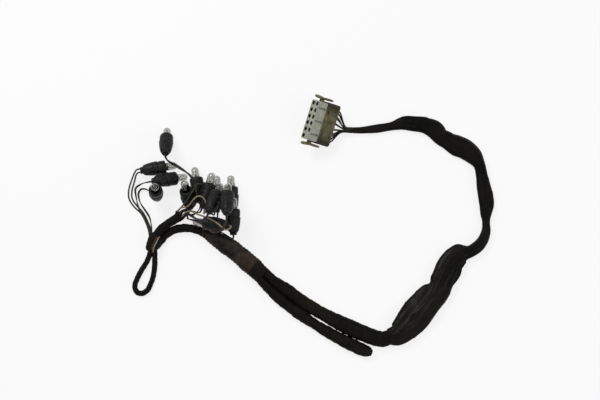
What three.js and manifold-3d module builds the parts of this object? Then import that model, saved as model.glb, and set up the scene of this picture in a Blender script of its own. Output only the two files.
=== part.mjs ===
// A lamp wiring harness from a vehicle's instrument panel, lying on a flat surface.
// A twelve-way plug feeds a loose plastic sleeve. The sleeve runs round into a taped trunk,
// and the trunk fans out into leads that each end in a rubber holder with a wedge bulb.
// Millimetres, +Z up, the surface at z = 0, the origin under the middle of the laid-out harness.

import * as THREE from 'three';
import { mergeVertices } from 'three/addons/utils/BufferGeometryUtils.js';
import Module from 'manifold-3d';

const wasm = await Module();
wasm.setup();

// Clearance left between two pieces that touch
const GAP = 0.3;

// Plug: a front block with two rows of cavities, and a wider rear block
const PLUG_ROWS = 6;
const PLUG_PITCH = 8.35;
const PLUG_EDGE = 4.1;
const PLUG_THICK = 15.6;
const PLUG_FRONT_DEPTH = 14;
const PLUG_REAR_DEPTH = 18.6;
const PLUG_REAR_LIP = 1.7;
const CAVITY_R = 2.55;
const CAVITY_DEPTH = 11;
const SLOT_WIDE = 1.7;
const SLOT_LONG = 11.5;
const SLOT_DEEP = 1.3;
const LEVER_LONG = 29.5;
const LEVER_WIDE = 9;
const LEVER_THICK = 2;
const LEVER_GAP = 3.6;
const LEVER_AHEAD = 4;
const STEM_LONG = 2.2;
const STEM_BACK = 7.6;
const PLUG_LONG = (PLUG_ROWS - 1) * PLUG_PITCH + 2 * PLUG_EDGE;

// The plug's mating face looks up and to the left, and its long side leans over
const PLUG_FACE = [-0.5, 127.9, 33];
const PLUG_HEADING = 172.8;
const PLUG_NOSE_UP = 37.4;
const PLUG_ROLL = -17;

// Rubber bulb holder, measured from its mouth back to the end of its tail
const HOLDER_LONG = 32;
const COLLAR_R = 8.5;
const COLLAR_LONG = 8.4;
const MOUTH_R = 7.5;
const MOUTH_CHAMFER = 1.6;
const GROOVE_R = 7.9;
const GROOVE_WIDE = 1.5;
const BODY_R = 8.9;
const SHOULDER_R = 6.2;
const SHOULDER_AT = 27.6;
const TAIL_R = 4.4;
const TAIL_LONG = 3;

// Wedge bulb: a glass envelope that stands out of the holder's bore
const BULB_R = 4.8;
const BULB_OUT = 14.5;
const BULB_IN = 11;
const BORE_R = BULB_R + GAP;

// Insulated wire, and the pair of wires twisted together that feeds one holder
const WIRE_R = 1;
const PAIR_R = 1.7;
const FIRST_PAIR_R = 2;
const THIN_PAIR_R = 1.3;

// Outline steps round a section
const ROUND = 12;
const WIRE_SIDES = 8;

// Bulb holders: the middle of the mouth, the heading in the plan and the nose's rise, in degrees
const HOLDERS = [
  { at: [-180.1, 111, 11.4], heading: 92, rise: -35 },
  { at: [-180.6, 72.7, 9.1], heading: 9, rise: -2 },
  { at: [-166.9, 58.1, 10.5], heading: 13, rise: -23 },
  { at: [-189.4, 38.4, 39], heading: 75, rise: 81 },
  { at: [-152.6, 39.2, 33.4], heading: 100, rise: 55 },
  { at: [-142.6, 58.5, 9], heading: 100, rise: -5 },
  { at: [-124.6, 48.3, 24.6], heading: 76, rise: 1 },
  { at: [-116.7, 47.2, 9.1], heading: 90, rise: -2 },
  { at: [-98.7, 47.2, 10.5], heading: 93, rise: 5 },
  { at: [-114.4, 35, 36.8], heading: 72, rise: -27 },
  { at: [-100.9, 31.8, 48.8], heading: 90, rise: -30 },
  { at: [-131, 0, 24.3], heading: 171, rise: -12 },
  { at: [-95.1, 16.9, 23.6], heading: 90, rise: 17 },
];

// Loose sleeve from the plug's wires round to the taped branch: x, y, half width, half height
const SLEEVE = [
  [50, 121, 3.9, 3.6], [62, 121, 4.2, 3.6], [84, 123, 5.5, 4], [102, 126, 5.6, 4.2],
  [119, 130, 9.3, 5], [131, 129, 10.5, 5.5], [144, 127, 11.4, 5.5], [156, 121, 12.2, 5.6],
  [164, 112, 11, 6], [174, 107, 12.5, 6], [184, 101, 13.3, 6], [194, 96, 13.2, 6],
  [204, 87, 12, 6.2], [211, 76, 7.8, 6.5], [214, 63, 7.8, 6], [216, 50, 9.3, 5.8],
  [218, 37, 9.7, 5.6], [219, 25, 9.3, 5.4], [218, 14, 7.2, 5], [218, 4, 4.9, 4.8],
  [217.6, -8, 5.8, 5], [213.6, -18.6, 7, 5.4], [206.6, -27, 7.8, 5.8], [198, -32.4, 8.2, 6.2],
  [190.6, -34.4, 10.2, 6.4], [186, -36, 13.8, 6.5],
  [181, -39.6, 15, 6.6], [175, -46, 15.5, 6.6], [169, -57, 16.5, 6.6], [161, -70, 15.2, 6.8],
  [155.4, -81, 16, 6.8], [145.2, -92.4, 18.6, 6.8], [135, -104.4, 20.4, 6.8], [124.4, -116.4, 20, 6.8],
  [114.6, -127.6, 17.6, 6.8], [105.6, -136, 13.4, 6.8], [95.4, -138.7, 10, 6.6],
];

// Taped cables: x, y, height of the middle, half width, half height
const UPPER_BRANCH = [
  [-54.4, -61.2, 9.4, 4.7, 6.2], [-46.5, -68.6, 8.4, 5.3, 6.4], [-28, -82, 7, 7.3, 6.5],
  [-12, -94, 6.8, 7.4, 6.4],
  [4, -104, 6.7, 7.9, 6.4], [20, -113, 6.6, 8, 6.4], [37, -122, 6.8, 9.4, 6.6], [54, -130, 6.8, 9.9, 6.6],
  [70, -136.4, 6.8, 9.8, 6.6], [82, -140.4, 6.8, 9.4, 6.5],
  [89, -141, 6.7, 9.2, 6.4], [94.4, -139.1, 6.7, 9, 6.3],
];
const STUB_BRANCH = [
  [-61.5, -68.6, 8.5, 4.5, 6], [-53, -77.4, 7.2, 5.3, 6], [-38, -91.6, 6.4, 6.3, 6],
  [-23, -103.4, 6.2, 6.5, 5.9],
  [-8, -114, 6.1, 7.1, 5.8], [6, -123.4, 6, 6, 5.7], [21, -132.6, 6.2, 6.9, 5.9], [36, -141, 6.4, 7.2, 6.1],
  [50, -148, 6.6, 7.8, 6.3], [62, -153.4, 6.4, 7.5, 6.1], [70, -156.3, 5.8, 6, 5.4],
  [74, -157.6, 4.8, 3.4, 3.6],
];
const TRUNK = [
  [-115, -19.2, 10.6, 9.4, 9.4], [-106, -25, 11, 10.6, 10], [-93, -34, 10.9, 11, 10.6],
  [-80, -45, 10.9, 11.2, 10.6],
  [-67, -56, 10.6, 11.2, 10.2], [-58.6, -64.2, 9.6, 10.4, 9],
];
const LEFT_BRANCH = [
  [-185, -21.4, 4.3, 3.5, 3.9], [-183.5, -17.8, 4.3, 4.1, 4.1], [-180, -12.6, 4.3, 4.5, 4.2],
  [-174, -8.8, 4.6, 4.8, 4.4], [-168, -5.6, 4.9, 4.9, 4.8], [-160, -4.2, 5.2, 5, 5], [-150, -4.2, 5.2, 5, 5],
  [-137, -7.6, 5.3, 5, 5],
  [-127, -12, 5.9, 5.2, 5], [-117.2, -17.6, 6.8, 5.2, 5],
];
const SOCKET_BRANCH = [
  [-159.8, 13.2, 12.9, 7.4, 7.2], [-164.2, 8.4, 11.6, 5.6, 5.6], [-173, 2.8, 11, 5.2, 5.2],
  [-183, -4.6, 11, 5.2, 5.2], [-189.4, -12, 10.2, 4.8, 4.9], [-191.4, -19.6, 9, 4.3, 4.5],
];
const KNOT_WRAP = [
  [-194.8, -22.4, 7.4, 7.5, 7], [-195.4, -26.4, 7.6, 7.9, 7.3], [-195.8, -30, 7.2, 7.5, 6.9],
  [-195.8, -33.3, 6.6, 6.7, 6.2],
];
const LOOP_R = 3.2;
const TAPE_LOOP = [
  [-198, -34, 4.6], [-202, -45, 3.6], [-208, -55, 3.4], [-214, -67, 3.4], [-216.5, -76, 3.4],
  [-214.4, -82.6, 3.4],
  [-208.6, -85, 3.4], [-201, -81, 3.4], [-197, -73, 3.4], [-194, -63, 3.4], [-192.6, -50, 3.6],
  [-192.7, -34, 4.6],
];

// Wires sit in a ring in a cable's open end, at this distance from its middle
const SOCKET_RING = 5.9;
const TRUNK_RING = 5.8;

// The pairs and wires between the holders' tails and the taped cables. Each starts straight out of
// its holder's tail at an offset, passes the points listed, and ends in the ring at a turn in degrees,
// or at the last point where no ring is named.
const LEADS = [
  { name: 'lead_1', holder: 0, r: FIRST_PAIR_R, finish: 'blackWire', offset: 0, ring: 'socket', turn: 84, via: [
    [-176.4, 76.6, 30.6], [-167.4, 71.6, 27], [-158, 66, 25], [-150, 60, 25], [-143, 51, 25.4],
    [-140.4, 40, 25.4],
    [-140.6, 29, 25.4], [-144, 21, 23]] },
  { name: 'lead_2_outer', holder: 1, r: WIRE_R, finish: 'blackWire', offset: 2.2, via: [
    [-223.4, 57.4, 4], [-227.4, 43, 2], [-226.4, 33, 1.6], [-219.6, 23, 1.6], [-212, 16, 1.6], [-206, 6, 2],
    [-200.6, -8, 4], [-199.2, -20.6, 5]] },
  { name: 'lead_2_inner', holder: 1, r: WIRE_R, finish: 'blackWire', offset: -2.2, via: [
    [-220, 55, 4], [-223.4, 42, 2], [-222.6, 33.6, 1.6], [-217, 25.2, 1.6], [-209.6, 17.4, 1.6],
    [-203.6, 7.2, 2],
    [-198.2, -7.6, 4], [-196.9, -20.9, 5]] },
  { name: 'lead_3', holder: 2, r: THIN_PAIR_R, finish: 'blackWire', offset: 0, via: [
    [-205, 50, 22], [-213, 48.8, 12], [-218.4, 45.6, 6], [-217.4, 35, 4.4], [-214.4, 23, 4.6],
    [-210, 15, 4.8],
    [-204.4, 5.6, 5], [-199.6, -8, 7], [-198.4, -20.6, 7.8]] },
  { name: 'lead_4', holder: 3, r: THIN_PAIR_R, finish: 'blackWire', offset: 0, via: [
    [-194, 35, 3], [-203, 44.6, 2.4], [-211.6, 46, 2.4], [-215, 40.6, 2], [-212.4, 28.4, 1.8],
    [-206.2, 19.2, 1.8],
    [-200.2, 9.6, 2.6], [-197, -6, 7.6], [-197.1, -12, 10.2], [-196.8, -20.9, 10.5]] },
  { name: 'lead_5', holder: 4, r: THIN_PAIR_R, finish: 'blackWire', offset: 0, ring: 'socket', turn: 290, via: [
    [-150.5, 15.6, 2.8], [-153.5, 15.5, 4.6]] },
  { name: 'lead_6', holder: 5, r: THIN_PAIR_R, finish: 'blackWire', offset: 0, ring: 'socket', turn: 250, via: [
    [-138, 18, 12.5], [-144, 12.5, 10.5], [-150, 12, 9.5]] },
  { name: 'lead_7', holder: 6, r: THIN_PAIR_R, finish: 'blackWire', offset: 1.6, ring: 'socket', turn: null, via: [
    [-137, 12, 24], [-143, 14, 21]] },
  { name: 'lead_8', holder: 7, r: THIN_PAIR_R, finish: 'blackWire', offset: -1.6, ring: 'trunk', turn: 90, via: [
    [-116, 4, 11], [-119, -5, 14], [-122, -11, 16.6]] },
  { name: 'lead_9', holder: 8, r: THIN_PAIR_R, finish: 'blackWire', offset: 0, ring: 'trunk', turn: 172, via: [
    [-99, 3, 7.5], [-106, -5, 9], [-113, -10, 13]] },
  { name: 'lead_10', holder: 9, r: PAIR_R, finish: 'blueWire', offset: 0, ring: 'socket', turn: 158, via: [
    [-127, 0, 50], [-133, -1, 44], [-140, 3, 36], [-147.5, 9, 26]] },
  { name: 'lead_11', holder: 10, r: THIN_PAIR_R, finish: 'brownWire', offset: 0, ring: 'socket', turn: 199, via: [
    [-102, -7, 62], [-107, -13, 52], [-115, -15, 44], [-124, -11, 38], [-132, -4, 35], [-140, 1, 32],
    [-147.4, 3.4, 26.6], [-151.8, 6.8, 16]] },
  { name: 'lead_12', holder: 11, r: WIRE_R, finish: 'tanWire', offset: 0, ring: 'socket', turn: 128, via: [
    [-99, -9, 33], [-104, -11, 37], [-110, -6, 40], [-118, 0, 38.5], [-128, 5, 36], [-138, 9, 31],
    [-147.5, 14.2, 25]] },
  { name: 'lead_13', holder: 12, r: THIN_PAIR_R, finish: 'blackWire', offset: 0, ring: 'trunk', turn: 130, via: [
    [-98, -19, 20], [-104, -15, 22], [-111, -11, 19]] },
  { name: 'green_wire', holder: 7, r: WIRE_R, finish: 'greenWire', offset: 2.2, ring: 'socket', turn: -18, via: [
    [-121, 12, 9], [-128, 22, 8], [-129, 34, 8], [-128.6, 41, 9], [-132, 46, 16], [-135.6, 48, 21.6],
    [-139.6, 47, 29],
    [-142, 40, 36.4], [-146.6, 33, 37.6], [-153.2, 24.1, 31.2]] },
  { name: 'tan_wire', holder: 6, r: WIRE_R, finish: 'tanWire', offset: -2.2, ring: 'socket', turn: 34, via: [
    [-130, 10, 30], [-127, 18, 36], [-131, 29, 36.4], [-138, 31, 36], [-144, 26, 34], [-150.8, 19.9, 26.8]] },
];

const finishes = {
  plug: new THREE.MeshStandardMaterial({ color: 0x8b8c7c, roughness: 0.7, metalness: 0 }),
  sleeve: new THREE.MeshStandardMaterial({ color: 0x171715, roughness: 0.45, metalness: 0 }),
  tape: new THREE.MeshStandardMaterial({ color: 0x2b2a27, roughness: 0.75, metalness: 0 }),
  rubber: new THREE.MeshStandardMaterial({ color: 0x272827, roughness: 0.7, metalness: 0 }),
  glass: new THREE.MeshStandardMaterial({
    color: 0xd8dad6, roughness: 0.05, metalness: 0, transparent: true, opacity: 0.4,
  }),
  blackWire: new THREE.MeshStandardMaterial({ color: 0x1d1d1c, roughness: 0.5, metalness: 0 }),
  greenWire: new THREE.MeshStandardMaterial({ color: 0x3b4a3c, roughness: 0.55, metalness: 0 }),
  tanWire: new THREE.MeshStandardMaterial({ color: 0x9a8f7e, roughness: 0.6, metalness: 0 }),
  blueWire: new THREE.MeshStandardMaterial({ color: 0x20283f, roughness: 0.5, metalness: 0 }),
  brownWire: new THREE.MeshStandardMaterial({ color: 0x3a2620, roughness: 0.55, metalness: 0 }),
};

const harness = new THREE.Group();

function addPiece(name, geometry, finish, parent = harness) {
  const piece = new THREE.Mesh(geometry, finish);
  piece.name = name;
  parent.add(piece);
  return piece;
}

// Joining and cutting

function toSolid(geometry) {
  const bare = geometry.clone();
  for (const name of Object.keys(bare.attributes)) {
    if (name !== 'position') bare.deleteAttribute(name);
  }
  const merged = mergeVertices(bare, 1e-4);
  const place = merged.attributes.position.array;
  const corners = merged.index.array;
  const kept = [];
  for (let i = 0; i < corners.length; i += 3) {
    const [a, b, c] = [corners[i], corners[i + 1], corners[i + 2]];
    if (a !== b && b !== c && c !== a) kept.push(a, b, c);
  }
  return new wasm.Manifold(new wasm.Mesh({
    numProp: 3,
    vertProperties: new Float32Array(place),
    triVerts: new Uint32Array(kept),
  }));
}

function toGeometry(solid) {
  const mesh = solid.getMesh();
  const geometry = new THREE.BufferGeometry();
  geometry.setAttribute('position', new THREE.BufferAttribute(mesh.vertProperties, 3));
  geometry.setIndex(new THREE.BufferAttribute(mesh.triVerts, 1));
  geometry.computeVertexNormals();
  return geometry;
}

// Forms along a line

function roundSection(radius, sides) {
  const shape = new THREE.Shape();
  for (let i = 0; i < sides; i += 1) {
    const angle = (i / sides) * 2 * Math.PI;
    const x = radius * Math.cos(angle);
    const y = radius * Math.sin(angle);
    if (i === 0) shape.moveTo(x, y);
    else shape.lineTo(x, y);
  }
  shape.closePath();
  return shape;
}

function runAlong(section, points, stepLong) {
  const line = new THREE.CatmullRomCurve3(points.map((p) => new THREE.Vector3(...p)), false, 'centripetal');
  const steps = Math.max(2, Math.round(line.getLength() / stepLong));
  return new THREE.ExtrudeGeometry(section, { steps, extrudePath: line, bevelEnabled: false });
}

// A soft cable whose width and height change along it. It lies flat on the surface below.
function softCable(stations, { steps, sides = ROUND, square = 1, crease = 0 }) {
  const middle = new THREE.CatmullRomCurve3(
    stations.map(([x, y, z]) => new THREE.Vector3(x, y, z)), false, 'catmullrom', 0.5);
  const girth = new THREE.CatmullRomCurve3(
    stations.map((row) => new THREE.Vector3(row[3], row[4], 0)), false, 'catmullrom', 0.5);
  const corners = [];
  for (let i = 0; i <= steps; i += 1) {
    const along = i / steps;
    const at = middle.getPoint(along);
    const ahead = middle.getTangent(along);
    const side = new THREE.Vector3(ahead.y, -ahead.x, 0).normalize();
    const up = new THREE.Vector3().crossVectors(side, ahead).normalize();
    const size = girth.getPoint(along);
    for (let k = 0; k < sides; k += 1) {
      const angle = (k / sides) * 2 * Math.PI;
      const fold = 1 + crease * (Math.sin(3 * angle + i * 0.9) + 0.6 * Math.sin(5 * angle - i * 0.55));
      const across = Math.sign(Math.cos(angle)) * Math.abs(Math.cos(angle)) ** square * size.x * fold;
      const rise = Math.sin(angle) * size.y * fold;
      const corner = at.clone().addScaledVector(side, across).addScaledVector(up, rise);
      corner.z = Math.max(corner.z, 0);
      corners.push(corner.x, corner.y, corner.z);
    }
  }
  const first = middle.getPoint(0);
  const last = middle.getPoint(1);
  corners.push(first.x, first.y, first.z, last.x, last.y, last.z);
  const startHub = (steps + 1) * sides;
  const faces = [];
  for (let i = 0; i < steps; i += 1) {
    for (let k = 0; k < sides; k += 1) {
      const a = i * sides + k;
      const b = i * sides + ((k + 1) % sides);
      faces.push(a, b + sides, b, a, a + sides, b + sides);
    }
  }
  for (let k = 0; k < sides; k += 1) {
    const next = (k + 1) % sides;
    faces.push(startHub, k, next);
    faces.push(startHub + 1, steps * sides + next, steps * sides + k);
  }
  const geometry = new THREE.BufferGeometry();
  geometry.setAttribute('position', new THREE.Float32BufferAttribute(corners, 3));
  geometry.setIndex(faces);
  geometry.computeVertexNormals();
  return geometry;
}

// Plug, made standing on its rear face: X along the rows, Y across them, Z towards the mating face

function plugBlock(long, thick, depth, cornerR) {
  const shape = new THREE.Shape();
  const x = long / 2;
  const y = thick / 2;
  shape.moveTo(-x + cornerR, -y);
  shape.lineTo(x - cornerR, -y);
  shape.lineTo(x, -y + cornerR);
  shape.lineTo(x, y - cornerR);
  shape.lineTo(x - cornerR, y);
  shape.lineTo(-x + cornerR, y);
  shape.lineTo(-x, y - cornerR);
  shape.lineTo(-x, -y + cornerR);
  shape.closePath();
  return new THREE.ExtrudeGeometry(shape, { depth, bevelEnabled: false });
}

function makePlug() {
  const rearLong = PLUG_LONG + 2 * PLUG_REAR_LIP;
  const rearThick = PLUG_THICK + 2 * PLUG_REAR_LIP;
  const joint = -PLUG_FRONT_DEPTH;
  const back = joint - PLUG_REAR_DEPTH;
  let plug = toSolid(plugBlock(PLUG_LONG, PLUG_THICK, PLUG_FRONT_DEPTH + 1, 1.6).translate(0, 0, joint - 1));
  plug = plug.add(toSolid(plugBlock(rearLong, rearThick, PLUG_REAR_DEPTH, 1.2).translate(0, 0, back)));
  for (const end of [-1, 1]) {
    const inner = end * (PLUG_LONG / 2 + LEVER_GAP + LEVER_THICK / 2);
    const bar = new THREE.BoxGeometry(LEVER_THICK, LEVER_WIDE, LEVER_LONG);
    plug = plug.add(toSolid(bar.translate(inner, 0, LEVER_AHEAD - LEVER_LONG / 2)));
    const reach = LEVER_GAP + 2;
    const stem = new THREE.BoxGeometry(reach, LEVER_WIDE - 2, STEM_LONG);
    plug = plug.add(toSolid(stem.translate(end * (PLUG_LONG / 2 + reach / 2 - 1), 0, -STEM_BACK)));
  }
  for (let row = 0; row < PLUG_ROWS; row += 1) {
    const along = (row - (PLUG_ROWS - 1) / 2) * PLUG_PITCH;
    for (const side of [-1, 1]) {
      const cavity = new THREE.CylinderGeometry(CAVITY_R, CAVITY_R, CAVITY_DEPTH + 1, ROUND);
      cavity.rotateX(Math.PI / 2).translate(along, (side * PLUG_PITCH) / 2, 0.5 - CAVITY_DEPTH / 2);
      plug = plug.subtract(toSolid(cavity));
    }
  }
  for (let slot = 0; slot < PLUG_ROWS / 2; slot += 1) {
    const along = (slot * 2 - (PLUG_ROWS - 2) / 2) * PLUG_PITCH;
    const cut = new THREE.BoxGeometry(SLOT_WIDE, SLOT_DEEP * 2, SLOT_LONG);
    plug = plug.subtract(toSolid(cut.translate(along, PLUG_THICK / 2, joint + SLOT_LONG / 2 + 1)));
  }
  return toGeometry(plug);
}

// Turns a group so that its Z looks along a heading and a rise, rolled about that line
function aim(group, heading, rise, roll = 0) {
  const h = THREE.MathUtils.degToRad(heading);
  const r = THREE.MathUtils.degToRad(rise);
  const nose = new THREE.Vector3(Math.cos(h) * Math.cos(r), Math.sin(h) * Math.cos(r), Math.sin(r));
  const level = new THREE.Vector3(-Math.sin(h), Math.cos(h), 0);
  const above = new THREE.Vector3().crossVectors(nose, level);
  const turned = new THREE.Matrix4().makeBasis(level, above, nose);
  group.quaternion.setFromRotationMatrix(turned);
  group.rotateZ(THREE.MathUtils.degToRad(roll));
}

const plugGroup = new THREE.Group();
plugGroup.position.set(...PLUG_FACE);
aim(plugGroup, PLUG_HEADING, PLUG_NOSE_UP, PLUG_ROLL);
addPiece('connector_housing', makePlug(), finishes.plug, plugGroup);
harness.add(plugGroup);
plugGroup.updateMatrixWorld(true);

// Each row's two wires are twisted together behind the plug and run into the sleeve's mouth
const SLEEVE_MOUTH = [49.6, 121, 3.7];
const WIRE_SPREAD = 1.15;
for (let row = 0; row < PLUG_ROWS; row += 1) {
  const fan = row - (PLUG_ROWS - 1) / 2;
  const rear = -PLUG_FRONT_DEPTH - PLUG_REAR_DEPTH - GAP;
  const out = new THREE.Vector3(fan * PLUG_PITCH, 0, rear).applyMatrix4(plugGroup.matrixWorld);
  const clear = new THREE.Vector3(fan * PLUG_PITCH * 0.9, 0, rear - 5).applyMatrix4(plugGroup.matrixWorld);
  const spread = [-fan * WIRE_SPREAD, (row % 2 === 0 ? 1 : -1) * WIRE_SPREAD];
  const near = [SLEEVE_MOUTH[0] - 5, SLEEVE_MOUTH[1] + spread[0], SLEEVE_MOUTH[2] + spread[1] + 0.6];
  const end = [SLEEVE_MOUTH[0], SLEEVE_MOUTH[1] + spread[0], SLEEVE_MOUTH[2] + spread[1]];
  addPiece(`connector_wires_${row + 1}`,
    runAlong(roundSection(WIRE_R, WIRE_SIDES), [out.toArray(), clear.toArray(), near, end], 4),
    finishes.blackWire);
}

// Bulb holder and bulb, turned about their own axis with the mouth at Z = 0 and the tail below

function holderGeometry() {
  const groove = -COLLAR_LONG - GROOVE_WIDE;
  const profile = [
    [0, -HOLDER_LONG],
    [TAIL_R, -HOLDER_LONG],
    [TAIL_R, -HOLDER_LONG + TAIL_LONG],
    [SHOULDER_R, -SHOULDER_AT],
    [(SHOULDER_R + BODY_R) / 2 + 0.5, (-SHOULDER_AT + groove) / 2 - 4],
    [BODY_R, groove - 3],
    [BODY_R, groove],
    [GROOVE_R, groove],
    [GROOVE_R, -COLLAR_LONG],
    [COLLAR_R, -COLLAR_LONG],
    [COLLAR_R, -MOUTH_CHAMFER],
    [MOUTH_R, 0],
    [BORE_R, 0],
    [BORE_R, -BULB_IN - GAP],
    [0, -BULB_IN - GAP],
  ];
  const turned = new THREE.LatheGeometry(profile.map(([r, z]) => new THREE.Vector2(r, z)), ROUND);
  return turned.rotateX(Math.PI / 2);
}

function bulbGeometry() {
  const dome = BULB_OUT - BULB_R;
  const profile = [[0, -BULB_IN], [BULB_R, -BULB_IN], [BULB_R, dome]];
  const turns = 3;
  for (let i = 1; i < turns; i += 1) {
    const angle = (i / turns) * (Math.PI / 2);
    profile.push([BULB_R * Math.cos(angle), dome + BULB_R * Math.sin(angle)]);
  }
  profile.push([0, BULB_OUT]);
  const turned = new THREE.LatheGeometry(profile.map(([r, z]) => new THREE.Vector2(r, z)), ROUND);
  return turned.rotateX(Math.PI / 2);
}

const holderGroups = [];
HOLDERS.forEach(({ at, heading, rise }, i) => {
  const group = new THREE.Group();
  group.position.set(...at);
  aim(group, heading, rise);
  addPiece(`bulb_holder_${i + 1}`, holderGeometry(), finishes.rubber, group);
  addPiece(`bulb_${i + 1}`, bulbGeometry(), finishes.glass, group);
  harness.add(group);
  group.updateMatrixWorld(true);
  holderGroups.push(group);
});

// Leads and loose wires
function ringSeat(stations, ring, turn, back) {
  const first = new THREE.Vector3(...stations[0].slice(0, 3));
  const ahead = new THREE.Vector3(...stations[1].slice(0, 3)).sub(first).normalize();
  const side = new THREE.Vector3(ahead.y, -ahead.x, 0).normalize();
  const up = new THREE.Vector3().crossVectors(side, ahead);
  const seat = first.addScaledVector(ahead, -back);
  if (turn === null) return seat;
  const angle = THREE.MathUtils.degToRad(turn);
  return seat.addScaledVector(side, ring * Math.cos(angle)).addScaledVector(up, ring * Math.sin(angle));
}

for (const { name, holder, r, finish, offset, ring, turn, via } of LEADS) {
  const place = holderGroups[holder].matrixWorld;
  const tail = new THREE.Vector3(offset, 0, -HOLDER_LONG - GAP).applyMatrix4(place);
  const clear = new THREE.Vector3(offset, 0, -HOLDER_LONG - 4).applyMatrix4(place);
  const points = [tail.toArray(), clear.toArray(), ...via];
  if (ring) {
    const [cable, spread] = ring === 'socket' ? [SOCKET_BRANCH, SOCKET_RING] : [TRUNK, TRUNK_RING];
    points.push(ringSeat(cable, spread, turn, 4).toArray(), ringSeat(cable, spread, turn, GAP).toArray());
  }
  addPiece(name, runAlong(roundSection(r, WIRE_SIDES), points, 6), finishes[finish]);
}

// Sleeve, trunk and branches
addPiece('main_sleeve',
  softCable(SLEEVE.map(([x, y, w, h]) => [x, y, h, w, h]), { steps: 92, square: 0.85, crease: 0.035 }),
  finishes.sleeve);
addPiece('upper_branch', softCable(UPPER_BRANCH, { steps: 20 }), finishes.tape);
addPiece('stub_branch', softCable(STUB_BRANCH, { steps: 22 }), finishes.tape);
addPiece('trunk_wrap', softCable(TRUNK, { steps: 10 }), finishes.tape);
addPiece('left_branch', softCable(LEFT_BRANCH, { steps: 14 }), finishes.tape);
addPiece('socket_branch', softCable(SOCKET_BRANCH, { steps: 12 }), finishes.tape);
addPiece('knot_wrap', softCable(KNOT_WRAP, { steps: 4 }), finishes.tape);
addPiece('tape_loop', runAlong(roundSection(LOOP_R, 10), TAPE_LOOP, 6), finishes.tape);

export default harness;
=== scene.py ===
# A lamp wiring harness from a vehicle's instrument panel, laid out on a pale floor.
# Lengths are in metres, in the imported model's own frame. Turned profiles are in millimetres.
import bmesh
import bpy
import math
import numpy as np
from mathutils import Matrix, Vector


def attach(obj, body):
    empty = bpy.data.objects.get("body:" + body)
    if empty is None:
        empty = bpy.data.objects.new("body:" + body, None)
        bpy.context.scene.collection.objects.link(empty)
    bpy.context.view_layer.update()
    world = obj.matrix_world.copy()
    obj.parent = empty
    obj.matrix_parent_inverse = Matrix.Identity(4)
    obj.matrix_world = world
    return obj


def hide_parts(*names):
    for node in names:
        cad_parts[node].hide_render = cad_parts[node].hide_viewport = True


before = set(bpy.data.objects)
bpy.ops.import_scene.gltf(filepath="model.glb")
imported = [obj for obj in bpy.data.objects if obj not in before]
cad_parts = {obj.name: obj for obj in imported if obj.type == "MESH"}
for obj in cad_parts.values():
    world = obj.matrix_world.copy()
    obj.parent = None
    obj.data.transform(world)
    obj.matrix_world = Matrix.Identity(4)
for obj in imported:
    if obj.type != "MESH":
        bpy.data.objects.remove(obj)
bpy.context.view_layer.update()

# Camera
# It looks down on the harness at 80 degrees from one and a half metres, as the photograph does.
VIEW_TARGET = Vector((-0.0131, 0.0324, 0.0))
VIEW_RISE = math.radians(80)
VIEW_DISTANCE = 1.5

lens = bpy.data.cameras.new("view")
lens.lens = 72
lens.sensor_width = 36
lens.clip_end = 20
camera = bpy.data.objects.new("view", lens)
camera.location = VIEW_TARGET + VIEW_DISTANCE * Vector((0, -math.cos(VIEW_RISE), math.sin(VIEW_RISE)))
camera.rotation_euler = (math.pi / 2 - VIEW_RISE, 0, 0)
bpy.context.collection.objects.link(camera)
bpy.context.scene.camera = camera


# Floor, lamps and surroundings
# A white table, lit by a large soft lamp from the upper left and a weaker one from the right.
# The floor shows white to the camera, to glossy surfaces and through the bulbs, and keeps a shadow.
def add_node(tree, kind, inputs=None, **settings):
    made = tree.nodes.new(kind)
    for name, value in settings.items():
        setattr(made, name, value)
    for socket, value in (inputs or {}).items():
        if isinstance(value, bpy.types.NodeSocket):
            tree.links.new(value, made.inputs[socket])
        else:
            made.inputs[socket].default_value = value
    return made


def worked_out(tree, operation, first, second=0.0, **settings):
    """A number that a node works out from one or two others."""
    made = add_node(tree, "ShaderNodeMath", {0: first, 1: second}, operation=operation, **settings)
    return made.outputs[0]


def ranged(tree, value, start, stop, low=0.0, high=1.0):
    """A number moved from one range to another, and kept within it."""
    return add_node(tree, "ShaderNodeMapRange", {
        "Value": value, "From Min": start, "From Max": stop, "To Min": low, "To Max": high}).outputs[0]


def new_material(name):
    material = bpy.data.materials.new(name)
    material.use_nodes = True
    material.node_tree.nodes.clear()
    return material, material.node_tree


def seen_rays(tree):
    """1 for the rays that show the surroundings: from the camera, off gloss and through glass."""
    ray = add_node(tree, "ShaderNodeLightPath")
    seen = worked_out(tree, "MAXIMUM", ray.outputs["Is Camera Ray"], ray.outputs["Is Glossy Ray"])
    return worked_out(tree, "MAXIMUM", seen, ray.outputs["Is Transmission Ray"])


FLOOR_HALF = 4.0
FLOOR_UNDER = 0.0003
FLOOR_SELF_WHITE = 0.8
SKY_LIGHT = 0.42

floor_mesh = bpy.data.meshes.new("floor")
corners = [(x * FLOOR_HALF, y * FLOOR_HALF, -FLOOR_UNDER) for x, y in ((-1, -1), (1, -1), (1, 1), (-1, 1))]
floor_mesh.from_pydata(corners, [], [(0, 1, 2, 3)])
floor = bpy.data.objects.new("floor", floor_mesh)
bpy.context.collection.objects.link(floor)
floor_paint, tree = new_material("floor_white")
matt = add_node(tree, "ShaderNodeBsdfDiffuse", {"Color": (0.93, 0.93, 0.93, 1)})
glow = add_node(tree, "ShaderNodeEmission", {"Color": (1, 1, 1, 1), "Strength": 1.0})
share = worked_out(tree, "MULTIPLY", seen_rays(tree), FLOOR_SELF_WHITE)
mixed = add_node(tree, "ShaderNodeMixShader", {0: share, 1: matt.outputs[0], 2: glow.outputs[0]})
add_node(tree, "ShaderNodeOutputMaterial", {"Surface": mixed.outputs[0]})
floor_mesh.materials.append(floor_paint)

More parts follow.
